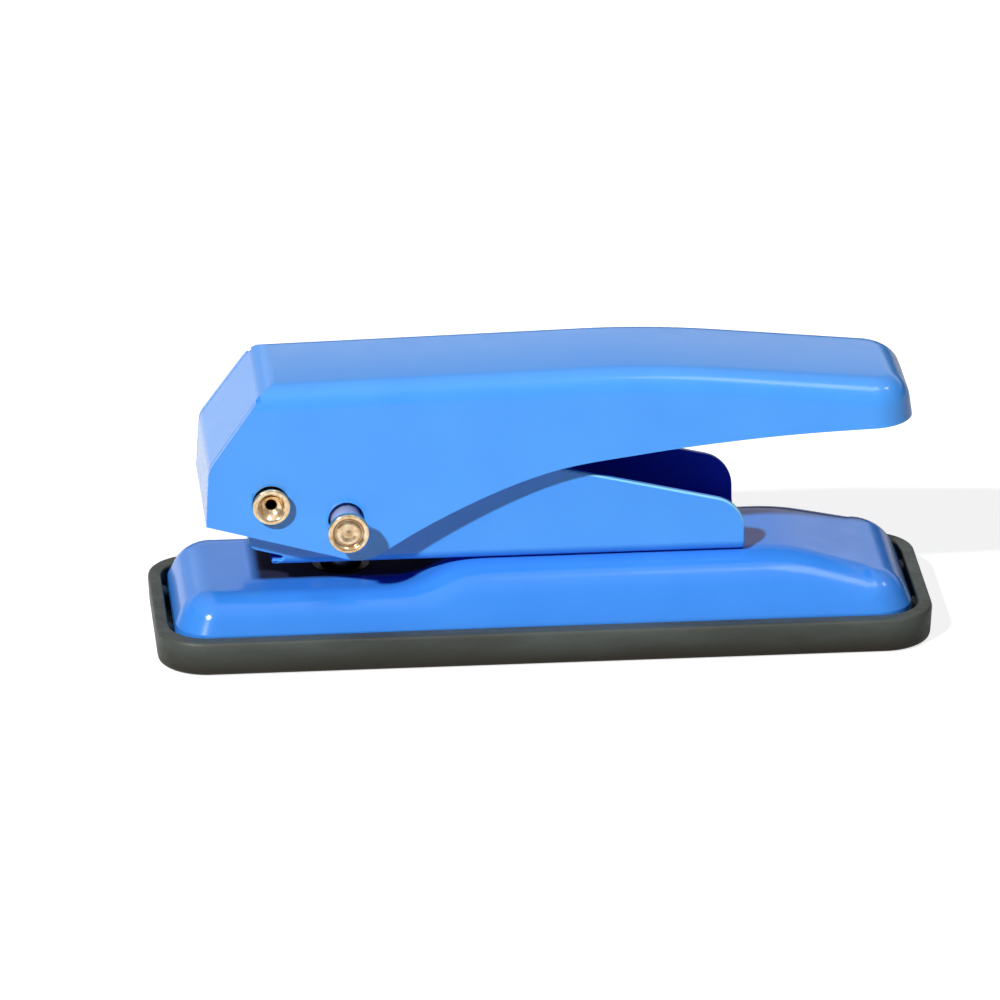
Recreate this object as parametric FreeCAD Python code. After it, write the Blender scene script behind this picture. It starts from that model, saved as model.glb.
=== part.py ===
import FreeCAD, Part
import os
from math import acos, atan2, cos, hypot, pi, radians, sin, sqrt, tan

# Palm-size single hole punch, in millimetres.
# X runs along the punch, with the paper mouth at -X and the free end of the handle at +X.
# Y runs across it and Z up. The origin is the middle of the tray's flat bottom.

V = FreeCAD.Vector
ALONG_Y = V(0, 1, 0)
UP = V(0, 0, 1)
FAR = 200.0

# Chip tray
TRAY_LENGTH = 110.0
TRAY_WIDTH = 34.4
TRAY_END_WALL = 1.9
TRAY_SIDE_WALL = 2.35
TRAY_HEIGHT = 5.0
TRAY_CORNER = 7.2
TRAY_TAPER = 0.3
TRAY_FLOOR = 1.6
TRAY_RIM_ROUND = 0.8
TRAY_FOOT_ROUND = 0.9
TRAY_GRIP_HEIGHT = 2.2
TRAY_GRIP_WIDTH = 3.0
TRAY_GRIP_SPACING = 14.0

# Base pressing
BASE_SHEET = 1.2
BASE_CORNER = 5.6
BASE_LEAN = 25.0
LOW_DECK = 9.75
HIGH_DECK = 13.0
DECK_ROUND = 5.2
DECK_MARGIN = 0.3
STEP_FRONT = -21.5
STEP_BACK = -8.0
TAIL_RUN = 21.2
TAIL_BEND = 30.0
TAIL_SLOPE = 14.5
SIDE_FIT = 0.2
END_GAP = 0.9
GRIP_FIT = 0.05

# Bridge frame
FRAME_SHEET = 1.2
FRAME_WIDTH = 18.2
FRAME_BEND = 1.8
FRAME_FRONT = -41.8
FRAME_BACK = 28.4
WEB_SETBACK = 3.4
FRAME_TOP = 29.6
FRAME_SLOPE_X = 3.7
FRAME_SLOPE_Z = 26.07
FRAME_SLOPE = 13.3
FRAME_TOP_ROUND = 8.0
FRAME_BEND_ROUND = 12.0
FRAME_BACK_ROUND = 5.0
LIP_FRONT_RISE = 2.9
LIP_BACK_RISE = 1.6
LIP_ROUND = 1.7
RELIEF_LENGTH = 1.5
RELIEF_HEIGHT = 1.05
RELIEF_ROUND = 0.25

# Lever handle
LEVER_SHEET = 1.0
LEVER_TOP_WIDTH = 21.6
LEVER_DRAFT = 4.5
LEVER_END_LEAN = 8.0
LEVER_WIDTH_HEIGHT = 37.0
LEVER_TOP_ROUND = 3.5
LEVER_END_CORNER = 5.5
LEVER_FRONT_TOP = (-39.1, 40.2)
LEVER_CHAMFER_FOOT = (-47.3, 28.7)
LEVER_FRONT_FOOT = (-47.75, 20.8)
LEVER_CREST_START = (7.0, 41.1)
LEVER_CREST_END = (27.0, 40.2)
LEVER_TAIL_FALL = 5.7
LEVER_BACK = 51.6
LEVER_TIP = (-26.4, 15.0)
LEVER_TIP_CLIMB = 35.0
LEVER_TIP_ROUND = 6.2
LEVER_BELLY = ((-19.4, 18.2), (-12.0, 22.05), (0.0, 26.75), (14.0, 29.15), (30.0, 30.85))
LEVER_BELLY_OVERRUN = 8.4
LEVER_BELLY_END_HEIGHT = 32.1
SEAM = 0.25
SEAM_NOTCH = 1.1
SEAM_NOTCH_DROP = 1.3

# Pivot, drive pin and punch
PIVOT_SETBACK = 3.15
PIVOT_HEIGHT = 23.65
PIN_REACH = 10.55
PIN_DROP = 3.05
AXLE_SHANK = 4.3
AXLE_HOLE_IN_LEVER = 5.1
AXLE_RIM = 5.3
AXLE_STANDS_OUT = 1.45
AXLE_BORE = 2.6
AXLE_BORE_DEPTH = 3.0
AXLE_FLARE = 1.0
AXLE_LIP = 0.35
AXLE_HEAD = 6.4
AXLE_HEAD_HEIGHT = 1.3
DRIVE_SHANK = 4.4
DRIVE_HOLE_IN_LEVER = 5.05
DRIVE_SITS_LOW = 0.3
DRIVE_RIM = 5.8
DRIVE_LENGTH = 33.2
DRIVE_HEAD_DEPTH = 1.6
DRIVE_FLARE = 0.5
DRIVE_GROOVE = 3.9
DRIVE_DIMPLE = 1.8
HEAD_SETTING = 0.25
EDGE_BREAK = 0.25
PRESS_ANGLE = 11.0
PUNCH_SIZE = 5.8
PUNCH_HEAD = 9.0
PUNCH_HEAD_BOTTOM = 17.4
PUNCH_HEAD_TOP = 24.4
PAPER_GAP = 0.65
RUNNING_FIT = 0.05
SLOT_FIT = 0.1
SLEEVE_SIZE = 6.4
WASHER_SIZE = 8.0
WASHER_THICKNESS = 1.25

# Bushes and rivets
DIE_NECK = 8.0
DIE_FLANGE = 11.0
DIE_FLANGE_HEIGHT = 1.6
DIE_RELIEF = 0.4
GUIDE_NECK = 8.2
GUIDE_FLANGE = 10.0
GUIDE_FLANGE_HEIGHT = 1.2
RIVET_SHANK = 3.4
RIVET_HEAD = 6.0
RIVET_HEAD_HEIGHT = 1.4
RIVET_TAIL = 5.4
RIVET_TAIL_HEIGHT = 1.1
RIVET_PLACES = (1.0, 21.0)

# Return spring
WIRE = 1.1
COIL_CLEARANCE = 0.25
COIL_PITCH = 1.65
COIL_TURNS = 3
LOWER_LEG_Y = 5.9
LOWER_LEG_SETBACK = 7.65
LOWER_LEG_LENGTH = 17.0
LOWER_LEG_BEND = 3.0
UPPER_LEG_REACH = 21.65
LEG_CLEARANCE = 0.05

# Values worked out from the ones above
base_length = TRAY_LENGTH - 2 * (TRAY_END_WALL + END_GAP)
base_width = TRAY_WIDTH - 2 * (TRAY_SIDE_WALL + SIDE_FIT)
tail_start = base_length / 2 - TAIL_RUN
skirt_bottom = TRAY_FLOOR
rim_level = TRAY_HEIGHT
web_bottom = HIGH_DECK
web_top = web_bottom + FRAME_SHEET
frame_inside = FRAME_WIDTH / 2 - FRAME_SHEET
web_front = FRAME_FRONT + WEB_SETBACK
relief_end = web_front + RELIEF_LENGTH
pivot = V(FRAME_FRONT + PIVOT_SETBACK, 0, PIVOT_HEIGHT)
front_top, chamfer_foot, front_foot, crest_start, crest_end, lever_tip = (V(x, 0, z) for x, z in (
    LEVER_FRONT_TOP, LEVER_CHAMFER_FOOT, LEVER_FRONT_FOOT, LEVER_CREST_START, LEVER_CREST_END, LEVER_TIP))
drive_hole = pivot + V(PIN_REACH, 0, -PIN_DROP + DRIVE_SITS_LOW)
drive = pivot + V(PIN_REACH, 0, -PIN_DROP)
pin_arm = hypot(PIN_REACH, PIN_DROP)
pin_angle = atan2(-PIN_DROP, PIN_REACH)
pressed_angle = pin_angle - radians(PRESS_ANGLE)
pressed = pivot + V(pin_arm * cos(pressed_angle), 0, pin_arm * sin(pressed_angle))
punch_travel = drive.z - pressed.z
pin_shift = drive.x - pressed.x
punch_x = drive.x
punch_tip = LOW_DECK + PAPER_GAP


def at(x, z, y=0.0):
    """Point of the side view, at the distance y across."""
    return V(x, y, z)


def line(a, b):
    return Part.LineSegment(a, b).toShape()


def outline(points):
    """Closed flat face with straight sides."""
    return Part.Face(Part.makePolygon(list(points) + [points[0]]))


def across(face, half_width):
    """Face of the side view made a solid that reaches half_width to each side."""
    moved = face.copy()
    moved.translate(V(0, -half_width, 0))
    return moved.extrude(V(0, 2 * half_width, 0))


def bar_y(centre, radius, y_from, y_to):
    """Round bar along Y."""
    return Part.makeCylinder(radius, y_to - y_from, V(centre.x, y_from, centre.z), ALONG_Y)


def bar_z(x, radius, z_from, z_to):
    """Round upright bar on the punch's middle line."""
    return Part.makeCylinder(radius, z_to - z_from, V(x, 0, z_from), UP)


def turned(points, centre, axis):
    """Solid of revolution: each point is (radius, distance along the axis from centre)."""
    ring = [centre + V(1, 0, 0) * r + axis * s for r, s in points]
    return outline(ring).revolve(centre, axis, 360)


def round_corner(before, corner, after, radius):
    """Arc that rounds a corner of a path, with the points where it starts and ends."""
    back = (before - corner).normalize()
    on = (after - corner).normalize()
    half = back.getAngle(on) / 2
    start = corner + back * (radius / tan(half))
    end = corner + on * (radius / tan(half))
    inward = (back + on).normalize()
    middle = corner + inward * (radius / sin(half) - radius)
    return start, Part.Arc(start, middle, end).toShape(), end


def double_arc(start, along_start, end, along_end):
    """Two arcs from start to end that meet smoothly and leave and arrive along the given directions."""
    chord = end - start
    both = chord.dot(along_start + along_end)
    apart = 2 * (1 - along_start.dot(along_end))
    reach = (sqrt(both * both + apart * chord.dot(chord)) - both) / apart
    corners = start + along_start * reach, end - along_end * reach
    middle = (corners[0] + corners[1]) / 2
    arcs = []
    for a, corner, b in ((start, corners[0], middle), (middle, corners[1], end)):
        half = (a - corner).getAngle(b - corner) / 2
        arcs.append(round_corner(a, corner, b, reach * tan(half))[1])
    return arcs


def rounded_path(points, radii):
    """Edges of a closed path through points, each corner rounded by its own radius (0 leaves it sharp)."""
    edges = []
    ends = []
    for i, corner in enumerate(points):
        if radii[i]:
            start, arc, end = round_corner(points[i - 1], corner, points[(i + 1) % len(points)], radii[i])
            edges.append(arc)
        else:
            start = end = corner
        ends.append((start, end))
    for i, (_, end) in enumerate(ends):
        edges.append(line(end, ends[(i + 1) % len(ends)][0]))
    return Part.Wire(Part.__sortEdges__(edges))


def rounded_plan(half_length, half_width, z, corner, shift=0.0):
    """Wire of a rectangle with round corners, seen from above."""
    corners = [(1, 1), (-1, 1), (-1, -1), (1, -1)]
    points = [V(shift + sx * half_length, sy * half_width, z) for sx, sy in corners]
    return rounded_path(points, [corner] * 4)


def leaning_block(x_from, x_to, half_width, corner, leans, z_low, z_high, z_size):
    """Block whose end and side walls lean inwards going up, with its stated size at the height z_size."""
    end_lean, side_lean = (tan(radians(lean)) for lean in leans)
    wires = []
    for z in (z_low, z_high):
        rise = z - z_size
        half_length = (x_to - x_from) / 2 - rise * end_lean
        wires.append(rounded_plan(half_length, half_width - rise * side_lean, z, corner - rise * side_lean,
                                  (x_from + x_to) / 2))
    return Part.makeLoft(wires, True, True)


def middle_of(face):
    """Surface parameters of the middle of a face."""
    u_low, u_high, v_low, v_high = face.ParameterRange
    return (u_low + u_high) / 2, (v_low + v_high) / 2


def rim_edges(block, least_rise):
    """Edges around the top of a block: those that only one face that looks up more than least_rise has."""
    tops = [f for f in block.Faces if f.normalAt(*middle_of(f)).z > least_rise]
    rim = []
    for face in tops:
        for edge in face.Edges:
            owners = sum(1 for other in tops for e in other.Edges if e.isSame(edge))
            if owners == 1:
                rim.append(edge)
    return rim


def deck_profile(drop):
    """Face of the side view below the base's top line, lowered by drop: low deck, step, raised deck, tail."""
    low, high = LOW_DECK - drop, HIGH_DECK - drop
    run, rise = (STEP_BACK - STEP_FRONT) / 2, (HIGH_DECK - LOW_DECK) / 2
    bend = (run * run + rise * rise) / (2 * rise)
    eighth = atan2(run, bend - rise) / 2
    hollow = at(STEP_FRONT + bend * sin(eighth), low + bend * (1 - cos(eighth)))
    middle = at(STEP_FRONT + run, low + rise)
    crown = at(STEP_BACK - bend * sin(eighth), high - bend * (1 - cos(eighth)))
    slope = radians(TAIL_SLOPE)
    tail_middle = at(tail_start + TAIL_BEND * sin(slope / 2), high - TAIL_BEND * (1 - cos(slope / 2)))
    tail = at(tail_start + TAIL_BEND * sin(slope), high - TAIL_BEND * (1 - cos(slope)))
    front = at(-base_length, low)
    back = at(base_length, tail.z - (base_length - tail.x) * tan(slope))
    edges = [
        line(front, at(STEP_FRONT, low)),
        Part.Arc(at(STEP_FRONT, low), hollow, middle).toShape(),
        Part.Arc(middle, crown, at(STEP_BACK, high)).toShape(),
        line(at(STEP_BACK, high), at(tail_start, high)),
        Part.Arc(at(tail_start, high), tail_middle, tail).toShape(),
        line(tail, back),
        line(back, at(back.x, -FAR)),
        line(at(back.x, -FAR), at(front.x, -FAR)),
        line(at(front.x, -FAR), front),
    ]
    return Part.Face(Part.Wire(edges))


def base_block(inset, drop, z_low):
    """Outer form of the base, or with inset and drop its hollow: leaning walls, a skirt and a round rim."""
    half_length, half_width, corner = base_length / 2 - inset, base_width / 2 - inset, BASE_CORNER - inset
    block = leaning_block(-half_length, half_length, half_width, corner, (BASE_LEAN, BASE_LEAN),
                          rim_level, HIGH_DECK + DECK_MARGIN, rim_level)
    block = block.common(across(deck_profile(drop), base_width)).Solids[0]
    block = block.makeFillet(DECK_ROUND - drop, rim_edges(block, 0.8))
    skirt = Part.Face(rounded_plan(half_length, half_width, z_low, corner)).extrude(UP * (rim_level - z_low))
    return block.fuse(skirt).removeSplitter()


def base_plate():
    """Pressed tub, open below, with the die's hole in the low deck and the rivets' in the raised one."""
    wall = BASE_SHEET / cos(radians(BASE_LEAN))
    tub = base_block(0, 0, skirt_bottom).cut(base_block(wall, BASE_SHEET, skirt_bottom - 1))
    tub = tub.cut(bar_z(punch_x, DIE_NECK / 2, LOW_DECK - 2 * BASE_SHEET, FAR))
    for x in RIVET_PLACES:
        tub = tub.cut(bar_z(x, RIVET_SHANK / 2, HIGH_DECK - 2 * BASE_SHEET, FAR))
    return tub


def chip_tray():
    """Plastic tray with a thick round rim; small ribs on its end walls grip the base's skirt."""
    half_length, half_width = TRAY_LENGTH / 2, TRAY_WIDTH / 2
    foot = rounded_plan(half_length - TRAY_TAPER, half_width - TRAY_TAPER, 0, TRAY_CORNER - TRAY_TAPER)
    top = rounded_plan(half_length, half_width, TRAY_HEIGHT, TRAY_CORNER)
    tray = Part.makeLoft([foot, top], True, True)
    tray = tray.makeFillet(TRAY_FOOT_ROUND, [e for e in tray.Edges if e.BoundBox.ZMax < 0.01])
    tray = tray.makeFillet(TRAY_RIM_ROUND, [e for e in tray.Edges if e.BoundBox.ZMin > TRAY_HEIGHT - 0.01])
    hollow_half_length = base_length / 2 + END_GAP
    hollow = rounded_plan(hollow_half_length, base_width / 2 + SIDE_FIT, TRAY_FLOOR, BASE_CORNER + SIDE_FIT)
    tray = tray.cut(Part.Face(hollow).extrude(UP * TRAY_HEIGHT))
    depth = END_GAP - GRIP_FIT + TRAY_TAPER
    ribs = []
    for inner in (base_length / 2 + GRIP_FIT, -base_length / 2 - GRIP_FIT - depth):
        for y in (-TRAY_GRIP_SPACING / 2, TRAY_GRIP_SPACING / 2):
            low = V(inner, y - TRAY_GRIP_WIDTH / 2, TRAY_FLOOR / 2)
            ribs.append(Part.makeBox(depth, TRAY_GRIP_WIDTH, TRAY_FLOOR / 2 + TRAY_GRIP_HEIGHT, low))
    return tray.multiFuse(ribs).removeSplitter()


def slot_y(from_centre, to_centre, radius, half_width):
    """Oblong bar along Y whose round corners have the radius, over the box between two centres."""
    xs = sorted((from_centre.x, to_centre.x))
    zs = sorted((from_centre.z, to_centre.z))
    points = [at(xs[0] - radius, zs[0] - radius), at(xs[1] + radius, zs[0] - radius),
              at(xs[1] + radius, zs[1] + radius), at(xs[0] - radius, zs[1] + radius)]
    return across(Part.Face(rounded_path(points, [radius * 0.999] * 4)), half_width)


def bridge_frame():
    """U-shaped sheet bracket: level web on the raised deck, two tall walls, round top corners."""
    half, inner = FRAME_WIDTH / 2, FRAME_WIDTH / 2 - FRAME_SHEET
    tall = FRAME_TOP + FRAME_SHEET
    inner_bend = FRAME_BEND - FRAME_SHEET
    section_points = [V(FRAME_FRONT, y, z) for y, z in (
        (-half, tall), (-half, web_bottom), (half, web_bottom), (half, tall),
        (inner, tall), (inner, web_top), (-inner, web_top), (-inner, tall))]
    section = rounded_path(section_points, [0, FRAME_BEND, FRAME_BEND, 0, 0, inner_bend, inner_bend, 0])
    frame = Part.Face(section).extrude(V(FRAME_BACK - FRAME_FRONT, 0, 0))
    slope = tan(radians(FRAME_SLOPE))
    bend_x = FRAME_SLOPE_X - (FRAME_TOP - FRAME_SLOPE_Z) / slope
    back_top = FRAME_SLOPE_Z - (FRAME_BACK - FRAME_SLOPE_X) * slope
    corners = [
        (FRAME_FRONT, web_bottom + LIP_FRONT_RISE, LIP_ROUND), (FRAME_FRONT, FRAME_TOP, FRAME_TOP_ROUND),
        (bend_x, FRAME_TOP, FRAME_BEND_ROUND), (FRAME_BACK, back_top, FRAME_BACK_ROUND),
        (FRAME_BACK, web_bottom, 0), (web_front, web_bottom, 0), (web_front, web_bottom + RELIEF_HEIGHT, 0),
        (relief_end, web_bottom + RELIEF_HEIGHT, RELIEF_ROUND),
        (relief_end, web_bottom + LIP_BACK_RISE, RELIEF_ROUND)]
    side_view = Part.Face(rounded_path([at(x, z) for x, z, _ in corners], [r for _, _, r in corners]))
    frame = frame.common(across(side_view, FRAME_WIDTH))
    frame = frame.cut(bar_y(pivot, AXLE_SHANK / 2 + RUNNING_FIT, -FAR, FAR))
    frame = frame.cut(slot_y(pressed, drive, DRIVE_SHANK / 2 + SLOT_FIT, FAR))
    frame = frame.cut(bar_z(punch_x, GUIDE_NECK / 2, -FAR, FAR))
    for x in RIVET_PLACES:
        frame = frame.cut(bar_z(x, RIVET_SHANK / 2, -FAR, FAR))
    return frame.removeSplitter()


def lever_side(inset):
    """Face of the side view of the lever's outer form, or with inset its hollow: flap, chamfer and top."""
    low = front_foot - (chamfer_foot - front_foot) * (front_foot.z / (chamfer_foot.z - front_foot.z))
    back = at(2 * LEVER_BACK, crest_end.z - (2 * LEVER_BACK - crest_end.x) * tan(radians(LEVER_TAIL_FALL)))
    along = (crest_start - front_top).normalize()
    chord = crest_end - crest_start
    turn = along.getAngle(chord)
    crown = crest_start + chord * 0.5 + V(-chord.z, 0, chord.x) * (tan(turn / 2) / 2)
    edges = [
        line(low, chamfer_foot),
        line(chamfer_foot, front_top),
        line(front_top, crest_start),
        Part.Arc(crest_start, crown, crest_end).toShape(),
        line(crest_end, back),
        line(back, at(back.x, low.z)),
        line(at(back.x, low.z), low),
    ]
    wire = Part.Wire(edges)
    if inset:
        wire = wire.makeOffset2D(-inset)
    return Part.Face(wire)


def lever_plan(inset):
    """Block with the lever's leaning side walls and round-cornered end; its front lies beyond the lever's."""
    wall = inset / cos(radians(LEVER_DRAFT))
    end_wall = inset / cos(radians(LEVER_END_LEAN))
    front = front_foot.x - 3 * LEVER_END_CORNER
    return leaning_block(front, LEVER_BACK - end_wall, LEVER_TOP_WIDTH / 2 - wall, LEVER_END_CORNER - wall,
                         (LEVER_END_LEAN, LEVER_DRAFT), front_foot.z / 2,
                         crest_start.z + LEVER_SHEET, LEVER_WIDTH_HEIGHT)


def lever_block(inset):
    """Outer form of the lever, or with inset its hollow, with the top edges rounded but not the front one."""
    block = lever_plan(inset).common(across(lever_side(inset), LEVER_TOP_WIDTH)).Solids[0]
    rim = [e for e in rim_edges(block, 0.8) if e.BoundBox.XMax > front_top.x + 2 * LEVER_SHEET]
    return block.makeFillet(LEVER_TOP_ROUND - inset, rim)


def below_belly():
    """Everything below the lever's lower edge: straight to the round tip, then one long curve to the end."""
    down = (lever_tip - front_foot).normalize()
    centre = lever_tip + UP * LEVER_TIP_ROUND
    first = centre + V(down.z, 0, -down.x) * LEVER_TIP_ROUND
    start = first - down * (2 * (lever_tip.x - front_foot.x))
    climb = radians(LEVER_TIP_CLIMB)
    last = centre + V(sin(climb), 0, -cos(climb)) * LEVER_TIP_ROUND
    curve = Part.BSplineCurve()
    belly = [at(x, z) for x, z in LEVER_BELLY]
    belly.append(at(LEVER_BACK + LEVER_BELLY_OVERRUN, LEVER_BELLY_END_HEIGHT))
    curve.interpolate([last] + belly)
    edges = [
        line(start, first),
        Part.Arc(first, lever_tip, last).toShape(),
        curve.toShape(),
        line(belly[-1], at(belly[-1].x, -FAR)),
        line(at(belly[-1].x, -FAR), at(start.x, -FAR)),
        line(at(start.x, -FAR), start),
    ]
    return across(Part.Face(Part.Wire(edges)), LEVER_TOP_WIDTH)


def lever_handle():
    """Folded sheet handle, open below, with a front flap parted from the walls by two thin seams."""
    lever = lever_block(0).cut(lever_block(LEVER_SHEET))
    flap = lever_side(0).cut(lever_side(1.5 * LEVER_SHEET))
    seam_end = front_top.x - LEVER_SHEET / 2
    front = outline([at(-FAR, -FAR), at(-FAR, FAR), at(seam_end, FAR), at(seam_end, -FAR)])
    seams = across(flap.common(front), LEVER_TOP_WIDTH)
    lever = lever.cut(seams.common(lever_plan(LEVER_SHEET).cut(lever_plan(LEVER_SHEET + SEAM))))
    lever = lever.cut(below_belly())
    chamfer = (chamfer_foot - front_top).normalize()
    notch = front_top + chamfer * SEAM_NOTCH_DROP
    hole = LEVER_TOP_WIDTH / 2 - 2 * LEVER_SHEET
    for y_from, y_to in ((-FAR, -hole), (hole, FAR)):
        lever = lever.cut(bar_y(notch, SEAM_NOTCH / 2, y_from, y_to))
        lever = lever.cut(bar_y(drive_hole, DRIVE_HOLE_IN_LEVER / 2, y_from, y_to))
    lever = lever.cut(bar_y(pivot, AXLE_HOLE_IN_LEVER / 2, -FAR, -hole))
    lever = lever.cut(bar_y(pivot, AXLE_SHANK / 2 + RUNNING_FIT, hole, FAR))
    return lever.removeSplitter()


def lever_wall(z):
    """Distance of the lever's outer side face from the middle plane at a height."""
    return LEVER_TOP_WIDTH / 2 + (LEVER_WIDTH_HEIGHT - z) * tan(radians(LEVER_DRAFT))


def pivot_axle():
    """Half-hollow rivet: flared tubular end at the near side, low round head at the far side."""
    shank, rim, bore = AXLE_SHANK / 2, AXLE_RIM / 2, AXLE_BORE / 2
    near = -lever_wall(pivot.z) - AXLE_STANDS_OUT
    head = lever_wall(pivot.z - AXLE_HEAD / 2) + SLOT_FIT
    top = head + AXLE_HEAD_HEIGHT
    points = [
        (0, near + AXLE_BORE_DEPTH + bore / 2), (bore, near + AXLE_BORE_DEPTH), (bore, near + AXLE_FLARE),
        (rim - AXLE_LIP, near), (rim - AXLE_LIP / 2, near), (rim, near + AXLE_LIP / 2),
        (shank, near + AXLE_FLARE), (shank, head), (AXLE_HEAD / 2, head),
        (AXLE_HEAD / 2, head + AXLE_HEAD_HEIGHT / 2), (AXLE_HEAD / 2 - EDGE_BREAK, top - EDGE_BREAK),
        (AXLE_HEAD / 4, top - EDGE_BREAK / 5), (0, top)]
    return turned(points, V(pivot.x, 0, pivot.z), ALONG_Y)


def drive_pin():
    """Pin through the punch head, with the same flared, ring-grooved face at both ends."""
    shank, rim, end = DRIVE_SHANK / 2, DRIVE_RIM / 2, DRIVE_LENGTH / 2
    ring, dimple = DRIVE_GROOVE / 2, DRIVE_DIMPLE / 2
    half = [
        (0, end - HEAD_SETTING), (dimple, end - HEAD_SETTING / 5),
        (ring - HEAD_SETTING, end - HEAD_SETTING / 5), (ring, end - HEAD_SETTING), (ring + HEAD_SETTING, end),
        (rim - EDGE_BREAK, end), (rim, end - EDGE_BREAK),
        (rim, end - DRIVE_HEAD_DEPTH + DRIVE_FLARE), (shank, end - DRIVE_HEAD_DEPTH)]
    points = half + [(r, -s) for r, s in reversed(half)]
    return turned(points, drive, ALONG_Y)


def punch():
    """Ground rod with a wide head; the head's cross slot lets the drive pin shift as it swings."""
    rod = bar_z(punch_x, PUNCH_SIZE / 2, punch_tip, PUNCH_HEAD_BOTTOM)
    head = bar_z(punch_x, PUNCH_HEAD / 2, PUNCH_HEAD_BOTTOM, PUNCH_HEAD_TOP)
    rims = [e for e in head.Edges if len(e.Vertexes) == 1]
    head = head.makeChamfer(EDGE_BREAK, rims)
    slot = slot_y(drive, drive + V(-pin_shift, 0, 0), DRIVE_SHANK / 2 + SLOT_FIT, FAR)
    return rod.fuse(head).removeSplitter().cut(slot)


def die_bush():
    """Hard steel die: neck flush with the low deck, flange below the sheet, wider relief below the edge."""
    bore = PUNCH_SIZE / 2 + RUNNING_FIT
    under = LOW_DECK - BASE_SHEET
    foot = under - DIE_FLANGE_HEIGHT
    points = [
        (bore, LOW_DECK), (DIE_NECK / 2, LOW_DECK), (DIE_NECK / 2, under), (DIE_FLANGE / 2, under),
        (DIE_FLANGE / 2, foot), (bore + DIE_RELIEF, foot), (bore + DIE_RELIEF, under), (bore, under)]
    return turned(points, V(punch_x, 0, 0), UP)


def guide_bush():
    """Flanged bush that guides the punch through the frame's web."""
    bore = PUNCH_SIZE / 2 + RUNNING_FIT
    top = web_top + GUIDE_FLANGE_HEIGHT
    points = [
        (bore, web_bottom), (GUIDE_NECK / 2, web_bottom), (GUIDE_NECK / 2, web_top),
        (GUIDE_FLANGE / 2, web_top), (GUIDE_FLANGE / 2, top - EDGE_BREAK),
        (GUIDE_FLANGE / 2 - EDGE_BREAK, top), (bore, top)]
    return turned(points, V(punch_x, 0, 0), UP)


def frame_rivets():
    """Rivets that hold the frame on the base: round heads inside the frame, set tails under the deck."""
    under = HIGH_DECK - BASE_SHEET
    shank, head, tail = RIVET_SHANK / 2, RIVET_HEAD / 2, RIVET_TAIL / 2
    top = web_top + RIVET_HEAD_HEIGHT
    points = [
        (0, under - RIVET_TAIL_HEIGHT), (tail - EDGE_BREAK, under - RIVET_TAIL_HEIGHT),
        (tail, under - RIVET_TAIL_HEIGHT + EDGE_BREAK), (tail, under), (shank, under), (shank, web_top),
        (head, web_top), (head * 0.93, web_top + RIVET_HEAD_HEIGHT * 0.5),
        (head * 0.7, web_top + RIVET_HEAD_HEIGHT * 0.84),
        (head * 0.35, web_top + RIVET_HEAD_HEIGHT * 0.97), (0, top)]
    return Part.makeCompound([turned(points, V(x, 0, 0), UP) for x in RIVET_PLACES])


def ring_y(outer, y_from, y_to):
    """Ring on the pivot axle."""
    hole = bar_y(pivot, AXLE_SHANK / 2 + RUNNING_FIT, y_from, y_to)
    return bar_y(pivot, outer, y_from, y_to).cut(hole)


def axle_sleeve():
    """Spacer tube on the axle, between the frame's walls."""
    reach = frame_inside - RUNNING_FIT
    return ring_y(SLEEVE_SIZE / 2, -reach, reach)


def pivot_washers():
    """Two washers on the axle, between the frame's walls and the lever's."""
    near = FRAME_WIDTH / 2 + RUNNING_FIT
    rings = [ring_y(WASHER_SIZE / 2, near, near + WASHER_THICKNESS)]
    rings.append(ring_y(WASHER_SIZE / 2, -near - WASHER_THICKNESS, -near))
    return Part.makeCompound(rings)


def least_gap(path, radius):
    """Least clear distance between points of the wire that lie more than half a coil apart along it."""
    points = path.discretize(Number=400)
    apart = int(pi * radius / (path.Length / len(points))) + 1
    return min(a.distanceToPoint(b) for i, a in enumerate(points) for b in points[i + apart:]) - WIRE


def return_spring():
    """Torsion spring on the sleeve: one leg along the frame's web, the other up to the lever's roof."""
    radius = SLEEVE_SIZE / 2 + COIL_CLEARANCE + WIRE / 2
    foot = at(pivot.x + LOWER_LEG_SETBACK, web_top + WIRE / 2 + LEG_CLEARANCE)
    run = (crest_start - front_top).normalize()
    roof = front_top + run * ((pivot.x + UPPER_LEG_REACH - front_top.x) / run.x)
    roof = roof - UP * (LEVER_SHEET + WIRE / 2 + LEG_CLEARANCE)
    to_foot, to_roof = foot - pivot, roof - pivot
    first = atan2(to_foot.z, to_foot.x) - acos(radius / to_foot.Length)
    last = atan2(to_roof.z, to_roof.x) + acos(radius / to_roof.Length)
    swept = (first - last) % (2 * pi) + COIL_TURNS * 2 * pi
    pitch_run = COIL_PITCH / (2 * pi)
    steps = 3 * (COIL_TURNS + 1)
    stations = []
    for i in range(steps + 1):
        angle = first - swept * i / steps
        place = V(pivot.x + radius * cos(angle), LOWER_LEG_Y - pitch_run * (first - angle),
                  pivot.z + radius * sin(angle))
        stations.append((place, V(sin(angle) * radius, -pitch_run, -cos(angle) * radius).normalize()))
    coil = []
    for before, after in zip(stations, stations[1:]):
        coil += double_arc(*before, *after)
    (start, enter), (end, leave) = stations[0], stations[-1]
    knee = start - enter * ((foot - V(start.x, 0, start.z)).Length / hypot(enter.x, enter.z))
    toe = V(foot.x + LOWER_LEG_LENGTH, knee.y, knee.z)
    bend_start, bend, bend_end = round_corner(toe, knee, start, LOWER_LEG_BEND)
    tip = end + leave * ((roof - V(end.x, 0, end.z)).Length / hypot(leave.x, leave.z))
    path = Part.Wire([line(toe, bend_start), bend, line(bend_end, start)] + coil + [line(end, tip)])
    print("return spring: least gap to itself %.2f mm" % least_gap(path, radius))
    ring = Part.Wire(Part.makeCircle(WIRE / 2, toe, V(-1, 0, 0)))
    return path.makePipeShell([ring], True, False)


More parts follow.
